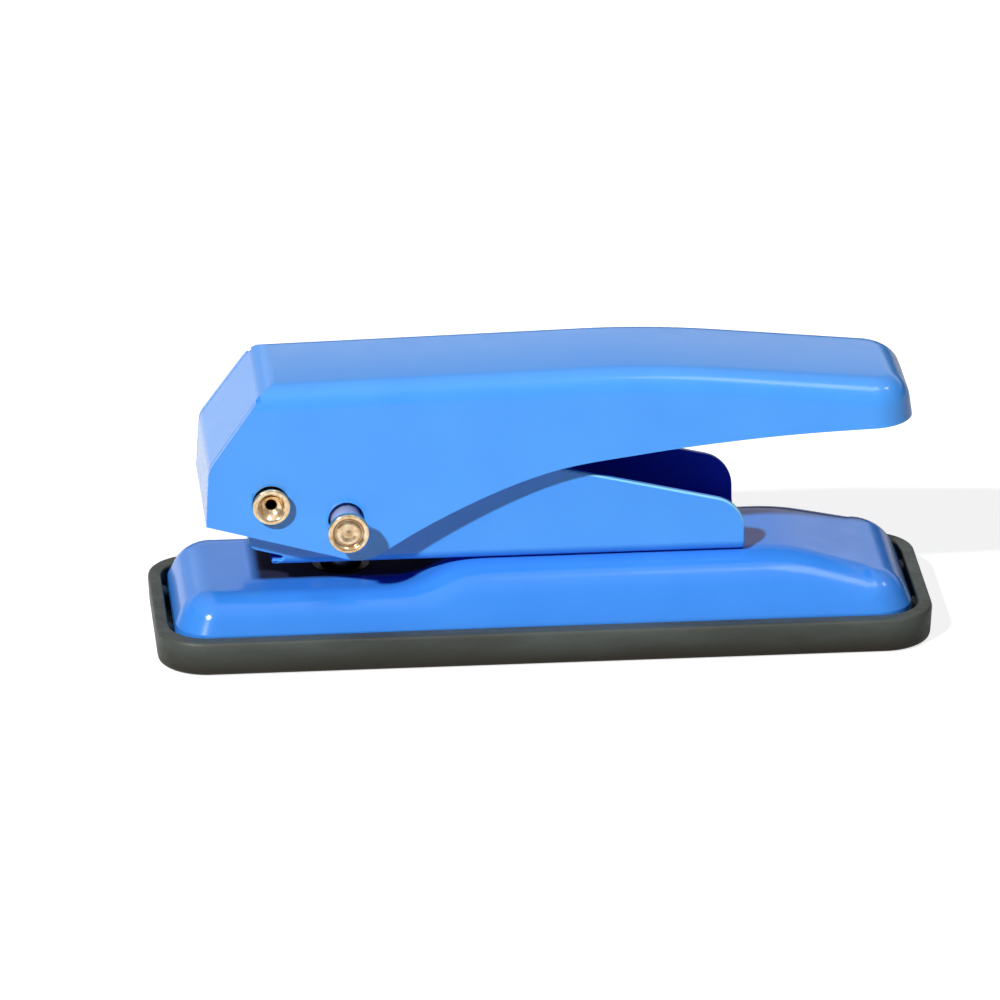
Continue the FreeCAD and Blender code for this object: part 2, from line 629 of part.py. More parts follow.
NODES = {
    "chip_tray": chip_tray,
    "base_plate": base_plate,
    "bridge_frame": bridge_frame,
    "lever_handle": lever_handle,
    "pivot_axle": pivot_axle,
    "drive_pin": drive_pin,
    "punch": punch,
    "die_bush": die_bush,
    "guide_bush": guide_bush,
    "frame_rivets": frame_rivets,
    "axle_sleeve": axle_sleeve,
    "pivot_washers": pivot_washers,
    "return_spring": return_spring,
}

os.makedirs("parts", exist_ok=True)
for name, make in NODES.items():
    make().exportStep("parts/" + name + ".step")
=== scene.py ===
import math

import bmesh
import bpy
import mathutils
import numpy as np
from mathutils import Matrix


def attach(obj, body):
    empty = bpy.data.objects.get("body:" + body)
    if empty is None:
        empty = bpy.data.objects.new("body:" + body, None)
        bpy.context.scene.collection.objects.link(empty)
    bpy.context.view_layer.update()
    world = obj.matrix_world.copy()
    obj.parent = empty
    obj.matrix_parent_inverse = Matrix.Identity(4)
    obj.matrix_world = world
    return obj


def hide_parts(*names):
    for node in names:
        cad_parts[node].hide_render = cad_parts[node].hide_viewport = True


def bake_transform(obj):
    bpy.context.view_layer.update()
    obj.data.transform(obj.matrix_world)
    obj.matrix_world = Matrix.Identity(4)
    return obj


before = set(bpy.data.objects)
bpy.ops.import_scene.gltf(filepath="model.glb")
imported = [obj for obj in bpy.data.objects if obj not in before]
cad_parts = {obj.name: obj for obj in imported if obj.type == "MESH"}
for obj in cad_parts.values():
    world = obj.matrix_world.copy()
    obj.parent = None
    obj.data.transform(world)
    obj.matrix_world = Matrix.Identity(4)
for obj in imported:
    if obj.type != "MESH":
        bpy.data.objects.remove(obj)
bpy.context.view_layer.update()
MM = 0.001

# Camera, fitted to the photograph: nearly square to the near side, a little from the mouth's end and above.
AZIMUTH, ELEVATION = math.radians(5.26), math.radians(21.76)
LENS_MM, DISTANCE = 354.9, 1.3955
LOOK_AT = np.array([0.0, 0.0, 0.015])
SHIFT = (-0.0385, 0.021)

# Base pressing, millimetres
BASE_HALF_LENGTH, BASE_HALF_WIDTH, BASE_CORNER = 52.2, 14.65, 5.6
BASE_SHEET = 1.2
SKIRT_BOTTOM, SKIRT_MIDDLE, SKIRT_TOP = 1.6, 3.4, 5.0
BASE_LEAN = math.radians(25.0)
LOW_DECK, HIGH_DECK = 9.75, 13.0
STEP_FRONT, STEP_BACK = -21.5, -8.0
TAIL_START, TAIL_BEND, TAIL_SLOPE = 31.0, 30.0, math.radians(14.5)
BASE_FILLET_X = (-52.0, -21.0, -15.0, -9.0, 1.0, 12.0, 28.0, 44.0, 52.0)
BASE_FILLET = (4.9, 5.0, 6.5, 7.3, 7.2, 6.8, 6.7, 6.2, 5.6)
BASE_SPINE = (-45.0, 44.0)

# Lever handle, millimetres
LEVER_SHEET = 1.0
LEVER_FRONT_TOP, CHAMFER_FOOT, FRONT_FOOT = (-39.1, 40.2), (-47.3, 28.7), (-47.75, 20.8)
CREST_START, CREST_END, TAIL_FALL = (7.0, 41.1), (27.0, 40.2), math.radians(5.7)
LEVER_TIP, TIP_ROUND, TIP_CLIMB = (-26.4, 15.0), 6.2, math.radians(35.0)
BELLY = ((-19.4, 18.2), (-12.0, 22.05), (0.0, 26.75), (14.0, 29.15), (30.0, 30.85), (60.0, 32.1))
LEVER_BACK, END_LEAN = 51.6, math.radians(8.0)
LEVER_SPINE = (-58.0, 44.0)
LEVER_HALF_TOP, DRAFT, SIZE_HEIGHT = 10.8, math.radians(4.5), 37.0
LEVER_CORNER, LEVER_FILLET, CROWN = 5.5, 3.5, 0.25
SEAM, SEAM_OVERLAP = 0.25, 0.06
NOTCH, NOTCH_DROP = 0.9, 1.9
FOLD, FOOT_BEND = 2.2, 0.9
HOLE_ROUND = 0.18

# Places that only have to lie well outside the lever, millimetres
UNCUT_FRONT, FAR_FRONT, FAR_SIDE, FAR_BELOW = -64.0, -80.0, 20.0, 8.0

# Bracket, millimetres
BRACKET_EDGE_ROUND = 0.34

# Pins and the die's hole, millimetres; a place is x and z
PIVOT = (-38.65, 23.65)
DRIVE = (-28.1, 20.6)
DRIVE_HOLE_LIFT = 0.3
AXLE_HOLE, DRIVE_HOLE, AXLE_SHANK, DRIVE_SHANK = 5.1, 5.05, 4.3, 4.4
AXLE_NEAR_END, AXLE_FAR_END, DRIVE_PIN_END = -13.30, 13.50, 16.6
AXLE_FIT = 0.05
DIE_NECK = 8.0

# Chip tray, millimetres
TRAY_HALF_LENGTH, TRAY_HALF_WIDTH, TRAY_HEIGHT, TRAY_CORNER = 55.0, 17.2, 5.0, 7.2
TRAY_END_WALL, TRAY_SIDE_WALL, TRAY_FLOOR, TRAY_TAPER = 1.9, 2.35, 1.6, 0.3
TRAY_INNER_CORNER, TRAY_SPINE = 5.8, 40.0
TRAY_BOW, TRAY_BOW_DEPTH = 0.28, 1.2
TRAY_GRIP_WIDTH, TRAY_GRIP_SPACING, TRAY_GRIP_HEIGHT = 3.0, 14.0, 2.2

# Return spring, millimetres
WIRE, COIL_RADIUS, COIL_PITCH, COIL_TURNS, COIL_START = 1.1, 4.0, 1.65, 3, 5.9
SPRING_LEG_END, SPRING_FOOT, SPRING_ROOF = (-14.0, 14.8), (-31.0, 14.8), (-17.0, 39.03)


def link(name, data):
    """New object in the scene with the given mesh, camera or lamp data."""
    piece = bpy.data.objects.new(name, data)
    bpy.context.scene.collection.objects.link(piece)
    return piece


def place_camera():
    """Camera on the line from the look-at point, at the azimuth and elevation above."""
    towards = np.array([-math.sin(AZIMUTH) * math.cos(ELEVATION),
                        -math.cos(AZIMUTH) * math.cos(ELEVATION), math.sin(ELEVATION)])
    data = bpy.data.cameras.new("camera")
    data.lens = LENS_MM
    data.sensor_width = 36.0
    data.shift_x, data.shift_y = SHIFT
    data.clip_end = 50.0
    camera = link("camera", data)
    camera.location = LOOK_AT + towards * DISTANCE
    camera.rotation_euler = (math.pi / 2 - ELEVATION, 0.0, -AZIMUTH)
    bpy.context.scene.camera = camera


place_camera()


# Finishes
MATT_ROUGHNESS = 0.95
BAND_REACH_MM = 4.0


def srgb(r, g, b):
    """Linear colour of an sRGB colour given in 0 to 255."""
    c = np.array([r, g, b]) / 255.0
    return tuple(np.where(c <= 0.04045, c / 12.92, ((c + 0.055) / 1.055) ** 2.4)) + (1.0,)


def ramp(owner, source, start, end, low, high):
    """Node in a material or world: from low to high as the source goes from start to end."""
    tree = owner.node_tree
    node = tree.nodes.new("ShaderNodeMapRange")
    for socket, value in zip(("From Min", "From Max", "To Min", "To Max"), (start, end, low, high)):
        node.inputs[socket].default_value = value
    tree.links.new(source, node.inputs["Value"])
    return node.outputs[0]


def combined(owner, operation, *sources):
    """Node in a material or world: the outcome of an operation such as MAXIMUM on one or two sources."""
    tree = owner.node_tree
    node = tree.nodes.new("ShaderNodeMath")
    node.operation = operation
    for source, socket in zip(sources, node.inputs):
        tree.links.new(source, socket)
    return node.outputs[0]


def stepped(owner, source, points):
    """Node in a material or world: the value that runs straight between the (source, value) points."""
    tree = owner.node_tree
    node = tree.nodes.new("ShaderNodeValToRGB")
    stops = node.color_ramp.elements
    for _ in points[2:]:
        stops.new(0.5)
    for stop, (position, level) in zip(stops, points):
        stop.position, stop.color = position, (level, level, level, 1.0)
    tree.links.new(source, node.inputs["Fac"])
    return node.outputs["Color"]


class Finish:
    """Material with a Principled shader; its patterns lie on Object coordinates."""

    def __init__(self, name, colour, metallic=0.0):
        self.material = bpy.data.materials.new(name)
        self.material.use_nodes = True
        self.nodes = self.material.node_tree.nodes
        self.links = self.material.node_tree.links
        self.shader = self.nodes["Principled BSDF"]
        self.shader.inputs["Base Color"].default_value = colour
        self.shader.inputs["Metallic"].default_value = metallic
        self.place = self.nodes.new("ShaderNodeTexCoord").outputs["Object"]
        self.last_bump = None

    def noise(self, size_mm, detail=2.0, stretch=(1, 1, 1)):
        """Noise with features of about the given size, stretched along the axes."""
        mapping = self.nodes.new("ShaderNodeMapping")
        mapping.inputs["Scale"].default_value = [s * 1000.0 / size_mm for s in stretch]
        self.links.new(self.place, mapping.inputs["Vector"])
        noise = self.nodes.new("ShaderNodeTexNoise")
        noise.inputs["Scale"].default_value = 1.0
        noise.inputs["Detail"].default_value = detail
        self.links.new(mapping.outputs[0], noise.inputs["Vector"])
        return noise.outputs["Fac"]

    def rings(self, centre, size_mm):
        """Turning marks: slightly uneven rings of the given spacing, round a line along Y."""
        mapping = self.nodes.new("ShaderNodeMapping")
        mapping.inputs["Location"].default_value = [-c * MM for c in centre]
        self.links.new(self.place, mapping.inputs["Vector"])
        wave = self.nodes.new("ShaderNodeTexWave")
        wave.wave_type = "RINGS"
        wave.rings_direction = "Y"
        wave.inputs["Scale"].default_value = 0.5 * 1000.0 / size_mm / math.pi
        wave.inputs["Distortion"].default_value = 0.4
        self.links.new(mapping.outputs[0], wave.inputs["Vector"])
        return wave.outputs["Fac"]

    def spread(self, source, low, high):
        """Value from low to high as the source goes from 0.3 to 0.7."""
        return ramp(self.material, source, 0.3, 0.7, low, high)

    def colour(self, source, first, second):
        """Base colour that goes from the first colour to the second with the source."""
        return self.blend(self.spread(source, 0.0, 1.0), first, second)

    def blend(self, factor, first, second):
        """Base colour between two colours or outputs by a factor from 0 to 1."""
        mix = self.nodes.new("ShaderNodeMix")
        mix.data_type = "RGBA"
        for socket, value in (("A", first), ("B", second)):
            if isinstance(value, tuple):
                mix.inputs[socket].default_value = value
            else:
                self.links.new(value, mix.inputs[socket])
        self.links.new(factor, mix.inputs["Factor"])
        self.links.new(mix.outputs["Result"], self.shader.inputs["Base Color"])
        return mix.outputs["Result"]

    def across(self, axis, start_mm, end_mm, mirrored=False):
        """Factor from 0 to 1 between two places along an axis; mirrored, it takes the distance from zero."""
        parts = self.nodes.new("ShaderNodeSeparateXYZ")
        self.links.new(self.place, parts.inputs[0])
        place = parts.outputs[axis]
        if mirrored:
            place = combined(self.material, "ABSOLUTE", place)
        return ramp(self.material, place, start_mm * MM, end_mm * MM, 0.0, 1.0)

    def within(self, *limits):
        """Factor that is 1 inside all the limits, each an axis, a place outside and a place inside."""
        level = self.across(*limits[0])
        for limit in limits[1:]:
            level = combined(self.material, "MULTIPLY", level, self.across(*limit))
        return level

    def banded(self, centre, bands):
        """Value by the distance from a line along Y, up to 4 mm: `bands` are (radius in mm, value) points."""
        near = self.nodes.new("ShaderNodeMapping")
        near.inputs["Location"].default_value = (-centre[0] * MM, 0.0, -centre[2] * MM)
        self.links.new(self.place, near.inputs["Vector"])
        flat = self.nodes.new("ShaderNodeVectorMath")
        flat.operation = "MULTIPLY"
        flat.inputs[1].default_value = (1000.0 / BAND_REACH_MM, 0.0, 1000.0 / BAND_REACH_MM)
        far = self.nodes.new("ShaderNodeVectorMath")
        far.operation = "LENGTH"
        self.links.new(near.outputs[0], flat.inputs[0])
        self.links.new(flat.outputs[0], far.inputs[0])
        shares = [(radius / BAND_REACH_MM, level) for radius, level in bands]
        return stepped(self.material, far.outputs["Value"], shares)

    def roughness(self, source, low, high, dull=None):
        """Roughness that follows the source; where the factor `dull` is 1 it is near matt."""
        level = self.spread(source, low, high)
        if dull:
            mix = self.nodes.new("ShaderNodeMix")
            mix.inputs["B"].default_value = MATT_ROUGHNESS
            self.links.new(dull, mix.inputs["Factor"])
            self.links.new(level, mix.inputs["A"])
            level = mix.outputs["Result"]
        self.links.new(level, self.shader.inputs["Roughness"])

    def bump(self, source, depth_mm, strength=1.0):
        """Raised and sunk by the source over the given depth; several bumps add up."""
        node = self.nodes.new("ShaderNodeBump")
        node.inputs["Strength"].default_value = strength
        node.inputs["Distance"].default_value = depth_mm * MM
        self.links.new(source, node.inputs["Height"])
        if self.last_bump:
            self.links.new(self.last_bump, node.inputs["Normal"])
        self.last_bump = node.outputs[0]
        self.links.new(self.last_bump, self.shader.inputs["Normal"])


# Painted light: a pale highlight colour, a near-black shade colour and a dark blue shade colour for inside
# the bracket.
PAINTED_EDGE_HIGHLIGHT, SHADED_PAINT, INSIDE_SHADE_BLUE = srgb(152, 230, 255), srgb(8, 12, 52), srgb(14, 54, 205)


def blue_enamel(name, low, high, gloss, shaded_core=None, painted_shade=(), edge=(), lacquer=0.2):
    """Stoved enamel, low to high in colour, with a faint orange peel and a slightly uneven gloss.

    Nearer to the middle than the first of the two distances `shaded_core` the colour is a dark blue painted
    as shade, and beyond the second it is full paint. Inside the limits `painted_shade` it is matt and painted
    a dark shade, and inside the limits `edge` it is painted pale as a highlight.
    """
    finish = Finish(name, low)
    coat = finish.colour(finish.noise(9.0), low, high)
    # Painted highlight: inside the limits `edge` the paint is pale, as a highlight on a rounded edge.
    if edge:
        coat = finish.blend(finish.within(*edge), coat, PAINTED_EDGE_HIGHLIGHT)
    # Painted shade: inside these limits the paint is dark and matt.
    dull = finish.within(*painted_shade) if painted_shade else None
    if dull:
        coat = finish.blend(dull, coat, SHADED_PAINT)
    # Painted shade: near the middle across Y the colour is a dark blue that stands for shade.
    if shaded_core:
        finish.blend(finish.across("Y", *shaded_core, mirrored=True), INSIDE_SHADE_BLUE, coat)
    finish.roughness(finish.noise(3.0, 3.0), *gloss, dull)
    finish.bump(finish.noise(1.4, 1.0), 0.004)
    finish.bump(finish.noise(0.3, 2.0), 0.0005)
    finish.shader.inputs["Coat Weight"].default_value = lacquer
    finish.shader.inputs["Coat Roughness"].default_value = 0.08
    return finish.material


def grained_plastic():
    """Moulded plastic with a fine spark-eroded grain, faint flow marks along its length and a foot darkened
    as painted shade.
    """
    finish = Finish("grained_dark_plastic", srgb(74, 76, 68))
    flow = finish.colour(finish.noise(5.0, 5.0, (0.3, 1, 1)), srgb(58, 61, 55), srgb(78, 84, 80))
    # Painted shade: the colour darkens towards the foot, where the wall turns under.
    finish.blend(finish.across("Z", 0.4, 4.2), srgb(30, 24, 6), flow)
    finish.roughness(finish.noise(1.2, 3.0), 0.4, 0.56)
    finish.bump(finish.noise(0.5, 3.0), 0.05, 0.8)
    finish.shader.inputs["Specular IOR Level"].default_value = 0.3
    return finish.material


# Painted shade on a pin's head, in its dimple and ring groove: distance from its middle in millimetres, and
# strength
HEAD_SHADE_BANDS = ((0.0, 0.5), (0.3, 0.3), (0.7, 0.05), (1.5, 0.0), (1.75, 0.55), (2.1, 0.5), (2.3, 0.0),
               (3.0, 0.0))


def yellow_nickel(name, centre, bore=None, shank=None):
    """Warm passivated plating over turned steel, with fine rings round the pin's axis.

    In a bore, given by the y where it starts and the y where it is deep, the colour turns to a dark brown
    painted as shade. With a shank given, the head's dimple and ring groove carry painted shade, and the
    shank, given by two distances from the middle, is satin steel whose light bluish grey is partly a painted
    reflection of the lever's blue wall.
    """
    finish = Finish(name, srgb(228, 196, 140), 1.0)
    plating = finish.colour(finish.noise(0.9, 3.0), srgb(226, 180, 124), srgb(255, 238, 204))
    finish.roughness(finish.noise(0.5, 2.0), 0.08, 0.2)
    finish.bump(finish.rings(centre, 0.16), 0.003)
    finish.bump(finish.noise(0.35, 2.0), 0.02)
    if bore:
        # Painted shade: deep in the bore the colour turns dark brown.
        inside = finish.banded(centre, ((0.0, 1.0), (1.0, 1.0), (1.4, 0.0)))
        deep = combined(finish.material, "MULTIPLY", finish.across("Y", *bore), inside)
        finish.blend(deep, plating, srgb(40, 18, 8))
    if shank:
        # Painted shade: brown in the head's dimple and ring groove.
        groove_shade = finish.banded(centre, HEAD_SHADE_BANDS)
        plating = finish.blend(groove_shade, plating, srgb(104, 58, 26))
        # Painted reflection: the shank is satin steel, and its bluish tint stands for the lever's blue wall
        # seen in it.
        head = finish.across("Y", *shank, mirrored=True)
        finish.blend(head, srgb(196, 204, 228), plating)
        for socket, low, high in (("Metallic", 0.45, 1.0), ("Roughness", 0.36, 0.14)):
            finish.links.new(ramp(finish.material, head, 0.0, 1.0, low, high), finish.shader.inputs[socket])
    return finish.material


def drawn_steel(name, colour, stretch, low=0.22, high=0.38):
    """Steel of a colour with fine scratches, drawn out along an axis whose stretch is below 1."""
    finish = Finish(name, colour, 1.0)
    finish.roughness(finish.noise(0.6, 4.0, stretch), low, high)
    finish.bump(finish.noise(0.3, 3.0, stretch), 0.006)
    finish.colour(finish.noise(4.0, 2.0), colour, tuple(0.86 * c for c in colour[:3]) + (1.0,))
    return finish.material


def black_oxide():
    """Thin black oxide on steel, slightly uneven in colour and gloss."""
    finish = Finish("black_oxide", srgb(26, 26, 28), 0.6)
    finish.colour(finish.noise(1.5, 4.0), srgb(20, 20, 22), srgb(44, 42, 42))
    finish.roughness(finish.noise(0.7, 3.0), 0.35, 0.6)
    finish.bump(finish.noise(0.3, 2.0), 0.01)
    return finish.material


# Limits of painted shade and a painted highlight: an axis, a place outside and a place inside, in
# millimetres, and whether the distance is taken from zero. Under the bracket the base's deck is painted dark
# and matt as the shadow in the mouth, inside the bracket the walls are painted dark as shade, and on the
# bracket's rounded upper edge the paint is pale as a highlight.
SHADE_UNDER_BRACKET = (("X", -41.4, -39.6), ("X", -6.0, -16.0), ("Y", -6.0, -4.8), ("Y", 11.0, 8.0))
SHADE_IN_BRACKET = (("Y", 8.3, 8.0, True),)
BRACKET_EDGE = (("Z", 16.0, 17.5), ("Y", 9.09, 9.03, True), ("Y", 8.68, 8.8, True))

lever_enamel = blue_enamel("lever_enamel", srgb(70, 156, 250), srgb(74, 160, 251), (0.16, 0.22))
# Painted shade: the base's enamel is the lever's blue made darker, as its leaning sides face the key light
# more.
base_enamel = blue_enamel("base_enamel", srgb(56, 135, 231), srgb(60, 139, 234), (0.14, 0.19),
                          painted_shade=SHADE_UNDER_BRACKET, lacquer=0.0)
frame_enamel = blue_enamel("frame_enamel", srgb(70, 156, 250), srgb(74, 160, 251), (0.18, 0.24),
                           shaded_core=(8.0, 8.3), painted_shade=SHADE_IN_BRACKET, edge=BRACKET_EDGE, lacquer=0.0)
plastic = grained_plastic()
axle_plate = yellow_nickel("axle_nickel", (PIVOT[0], 0, PIVOT[1]), bore=(-12.3, -11.4))
drive_plate = yellow_nickel("drive_pin_nickel", (DRIVE[0], 0, DRIVE[1]), shank=(15.2, 15.5))
rivet_plate = drawn_steel("rivet_zinc", srgb(205, 205, 200), (1, 1, 1))
ground = drawn_steel("ground_steel", srgb(196, 194, 190), (1, 1, 0.05))
# Painted shade: the punch's steel is made darker than steel, so that it stays dark in the shaded mouth.
punch_steel = drawn_steel("polished_punch_steel", srgb(126, 122, 118), (1, 1, 0.05), 0.12, 0.2)
# Painted shade: the die is near black, so that it merges with the shade in the mouth.
hardened = drawn_steel("hardened_die_steel", srgb(40, 38, 40), (1, 1, 0.3), 0.3, 0.5)
wire_steel = drawn_steel("spring_wire_steel", srgb(150, 150, 152), (1, 1, 1), 0.18, 0.32)
# Painted shade: the washers are near black so that the gap round the axle, seen through the lever's hole,
# stays dark as shade.
black = black_oxide()


# Meshes from grids
def weld(mesh, outward=True):
    """Merge doubled points, drop faces that shrank to a line, and turn the faces outward."""
    work = bmesh.new()
    work.from_mesh(mesh)
    bmesh.ops.remove_doubles(work, verts=work.verts, dist=1e-6)
    bmesh.ops.dissolve_degenerate(work, dist=1e-7, edges=work.edges)
    if outward:
        bmesh.ops.recalc_face_normals(work, faces=work.faces)
    work.to_mesh(mesh)
    work.free()


def skin(name, grid, around=False):
    """Surface through a grid of points in millimetres, rows by columns; around joins last column to first."""
    rows, columns = grid.shape[:2]
    index = np.arange(rows * columns).reshape(rows, columns)
    if around:
        index = np.hstack([index, index[:, :1]])
    quads = np.stack([index[:-1, :-1], index[:-1, 1:], index[1:, 1:], index[1:, :-1]], axis=-1)
    mesh = bpy.data.meshes.new(name)
    mesh.from_pydata((grid.reshape(-1, 3) * MM).tolist(), [], quads.reshape(-1, 4).tolist())
    weld(mesh)
    return link(name, mesh)


ROUND_WORK = 60.0


def smooth(piece, angle=35.0):
    """Smooth shading, except over edges where two faces meet at more than the angle in degrees."""
    mesh = piece.data
    mesh.polygons.foreach_set("use_smooth", np.ones(len(mesh.polygons), bool))
    mesh.set_sharp_from_angle(angle=math.radians(angle))


def baked(piece):
    """Replace the mesh of a piece by the one that its modifiers give."""
    graph = bpy.context.evaluated_depsgraph_get()
    mesh = bpy.data.meshes.new_from_object(piece.evaluated_get(graph))
    piece.modifiers.clear()
    old, piece.data = piece.data, mesh
    mesh.name = piece.name
    bpy.data.meshes.remove(old)


def cut(piece, tools):
    """Cut the tools' shapes out of the piece and take the tools out of the scene."""
    for tool in tools:
        modifier = piece.modifiers.new("cut", "BOOLEAN")
        modifier.operation = "DIFFERENCE"
        modifier.solver = "EXACT"
        modifier.object = tool
    baked(piece)
    for tool in tools:
        bpy.data.objects.remove(tool)


def soft_edges(piece, width, segments):
    """Rounded sheet edges wherever two faces meet at more than 50 degrees."""
    modifier = piece.modifiers.new("edges", "BEVEL")
    modifier.width = width * MM
    modifier.segments = segments
    modifier.limit_method = "ANGLE"
    modifier.angle_limit = math.radians(50.0)
    modifier.use_clamp_overlap = False
    baked(piece)
    evened(piece)


def evened(piece):
    """Smooth shading in which large faces stay flat and small ones take up the bend."""
    smooth(piece)
    modifier = piece.modifiers.new("normals", "WEIGHTED_NORMAL")
    modifier.mode = "FACE_AREA"
    modifier.keep_sharp = True
    baked(piece)


def softened(points, reach, steps):
    """Path through points, each inner corner replaced by a parabola that starts and ends `reach` from it.

    Where a reach is more than 0.49 of the straight it lies on, it is cut to that. With t from 0 to 1 the
    parabola is start times (1-t) squared, plus corner times 2t(1-t), plus end times t squared.
    """
    p = np.array(points, float)
    corner = p[1:-1]
    reach = np.broadcast_to(reach, len(corner))[:, None]
    ends = []
    for side in (p[:-2] - corner, p[2:] - corner):
        length = np.linalg.norm(side, axis=1, keepdims=True)
        ends.append(corner + side / length * np.minimum(reach, length * 0.49))
    t = np.linspace(0, 1, steps)[None, :, None]
    arcs = (1 - t) ** 2 * ends[0][:, None] + 2 * t * (1 - t) * corner[:, None] + t ** 2 * ends[1][:, None]
    return np.vstack([p[:1], arcs.reshape(-1, p.shape[1]), p[-1:]])


def curve_through(points):
    """Height as a function of x: a cubic between each two points, with the slope averaged at each point."""
    xs, zs = np.array(points, float).T
    slopes = np.gradient(zs, xs)

    def height(x):
        i = np.clip(np.searchsorted(xs, x) - 1, 0, len(xs) - 2)
        width = xs[i + 1] - xs[i]
        t = (x - xs[i]) / width
        return ((1 + 2 * t) * (1 - t) ** 2 * zs[i] + t * (1 - t) ** 2 * width * slopes[i]
                + t ** 2 * (3 - 2 * t) * zs[i + 1] + t ** 2 * (t - 1) * width * slopes[i + 1])
    return height


def plan_stations(along, across=12, turn=12):
    """Stations round a rectangle with round corners, as four columns (a, b, c, d).

    A station lies at a times half the straight length plus c times the corner's radius along X, and at
    b and d likewise across Y: (a, b) is the corner's centre, or a share of the way between two centres, and
    (c, d) the outward direction in the plan.
    """
    signs = np.array([(1, 1), (-1, 1), (-1, -1), (1, -1)], float)
    parts = []
    for k in range(4):
        angle = np.radians(90 * k) + np.linspace(0, np.pi / 2, turn + 1)
        out = np.stack([np.cos(angle), np.sin(angle)], axis=1)
        parts.append(np.hstack([np.broadcast_to(signs[k], out.shape), out]))
        share = np.linspace(0, 1, (along if k % 2 == 0 else across) + 1)[1:-1, None]
        between = signs[k] * (1 - share) + signs[(k + 1) % 4] * share
        parts.append(np.hstack([between, np.broadcast_to(out[-1], between.shape)]))
    return np.vstack(parts).T


def tub(stations, size_at, deck, lower, fillet, spine, skirt=()):
    """Skin of a pressed tub, as rows of points: skirt, leaning wall, fillet, then deck.

    size_at(z) gives the x range, half width and corner radius of the walls at a height, deck(x, y) the top's
    height and lower(x) the bottom edge's. In the upright plane along each station's outward direction, the
    fillet is the circle of radius fillet(x) that touches both the wall's line and the deck's line. The deck
    is drawn in from the fillet's upper end to a line between the two spine points.
    """
    a, b, c, d = stations

    def wall(z):
        x_from, x_to, half_width, radius = size_at(z)
        return ((x_from + x_to) / 2 + a * ((x_to - x_from) / 2 - radius) + c * radius,
                b * (half_width - radius) + d * radius)

    # The corner of wall and deck at each station, found by repetition
    step = 0.01
    z = deck(0.0, 0.0) + 0.0 * a
    reach_in = fillet(0.0 * a) * 0.8
    for _ in range(15):
        x, y = wall(z)
        px, py = x - c * reach_in, y - d * reach_in
        slope = (deck(px - c * step, py - d * step) - deck(px + c * step, py + d * step)) / (2 * step)
        above, below = wall(z + step), wall(z - step)
        lean = -((above[0] - below[0]) * c + (above[1] - below[1]) * d) / (2 * step)
        down = np.stack([-lean, -np.ones_like(lean)]) / np.hypot(lean, 1.0)
        inward = np.stack([np.ones_like(slope), slope]) / np.hypot(slope, 1.0)
        radius = fillet(x)
        angle = np.arccos((down * inward).sum(axis=0))
        reach = radius / np.tan(angle / 2)
        reach_in = reach * inward[0]
        z = deck(px, py) - slope * reach_in
    top = z

    # The fillet's circle in that corner
    between = down + inward
    centre = between / np.linalg.norm(between, axis=0) * radius / np.sin(angle / 2)
    start = down * reach
    first = np.arctan2(start[1] - centre[1], start[0] - centre[0])
    first = np.where(first < 0, first + 2 * np.pi, first)
    swing = first - np.linspace(0, 1, 15)[:, None] * (np.pi - angle)
    inset = centre[0] + radius * np.cos(swing)
    rise = centre[1] + radius * np.sin(swing)
    round_rows = np.stack([x - c * inset, y - d * inset, top + rise], axis=-1)

    # The wall, from the lower edge or the skirt to the fillet
    foot = lower(0.0 * a)
    for _ in range(12):
        foot = lower(wall(foot)[0])
    rows = []
    for z in skirt:
        rows.append(np.stack([*wall(np.full(a.shape, z)), np.full(a.shape, z)], axis=-1))
    low = np.full(a.shape, skirt[-1]) if skirt else foot
    height = round_rows[0, :, 2]
    drift = round_rows[0, :, :2] - np.stack(wall(height), axis=-1)
    shares = np.linspace(0, 1, 12)[(1 if skirt else 0):-1]
    for share in shares:
        z = low + (height - low) * share
        rows.append(np.concatenate([np.stack(wall(z), axis=-1) + drift * share ** 2, z[:, None]], axis=-1))

    # The deck, from the fillet to the spine
    rim = round_rows[-1]
    middle = np.clip(rim[:, 0], *spine)
    misfit = rim[:, 2] - deck(rim[:, 0], rim[:, 1])
    deck_rows = []
    for share in np.linspace(0, 1, 9)[1:]:
        px = rim[:, 0] + (middle - rim[:, 0]) * share
        py = rim[:, 1] * (1 - share)
        deck_rows.append(np.stack([px, py, deck(px, py) + misfit * (1 - share)], axis=-1))
    return np.concatenate([np.stack(rows), round_rows, np.stack(deck_rows)])


def inset_by(size_at, sheet):
    """Sizes of the tub inside the wall of a tub, one sheet's thickness further in."""
    def inner(z):
        x_from, x_to, half_width, radius = size_at(z)
        return x_from + sheet, x_to - sheet, half_width - sheet, radius - sheet
    return inner


def filled(name, grid, spine):
    """Closed block under a tub's skin: its lower edge is drawn in to the line between the spine points."""
    rim = grid[0]
    line = np.stack([np.clip(rim[:, 0], *spine), 0 * rim[:, 1], rim[:, 2]], axis=-1)
    return skin(name, np.concatenate([line[None], grid]), around=True)


def drum(name, centre, profile, axis="Y", lean=0.0, sides=72):
    """Closed round block for cutting holes: (radius, along) points turned about a line along Y or Z.

    The centre is given across that line. Along Y the block leans, so that its ends stay parallel to a wall.
    """
    angle = np.linspace(0, 2 * np.pi, sides, endpoint=False)
    rows = []
    for r, along in ((0, profile[0][1]), *profile, (0, profile[-1][1])):
        across, up = r * np.cos(angle), r * np.sin(angle)
        level = along + lean * up
        if axis == "Y":
            parts = (centre[0] + across, level, centre[1] + up)
        else:
            parts = (centre[0] + across, centre[1] + up, level)
        rows.append(np.stack(parts, axis=-1))
    return skin(name, np.stack(rows), around=True)


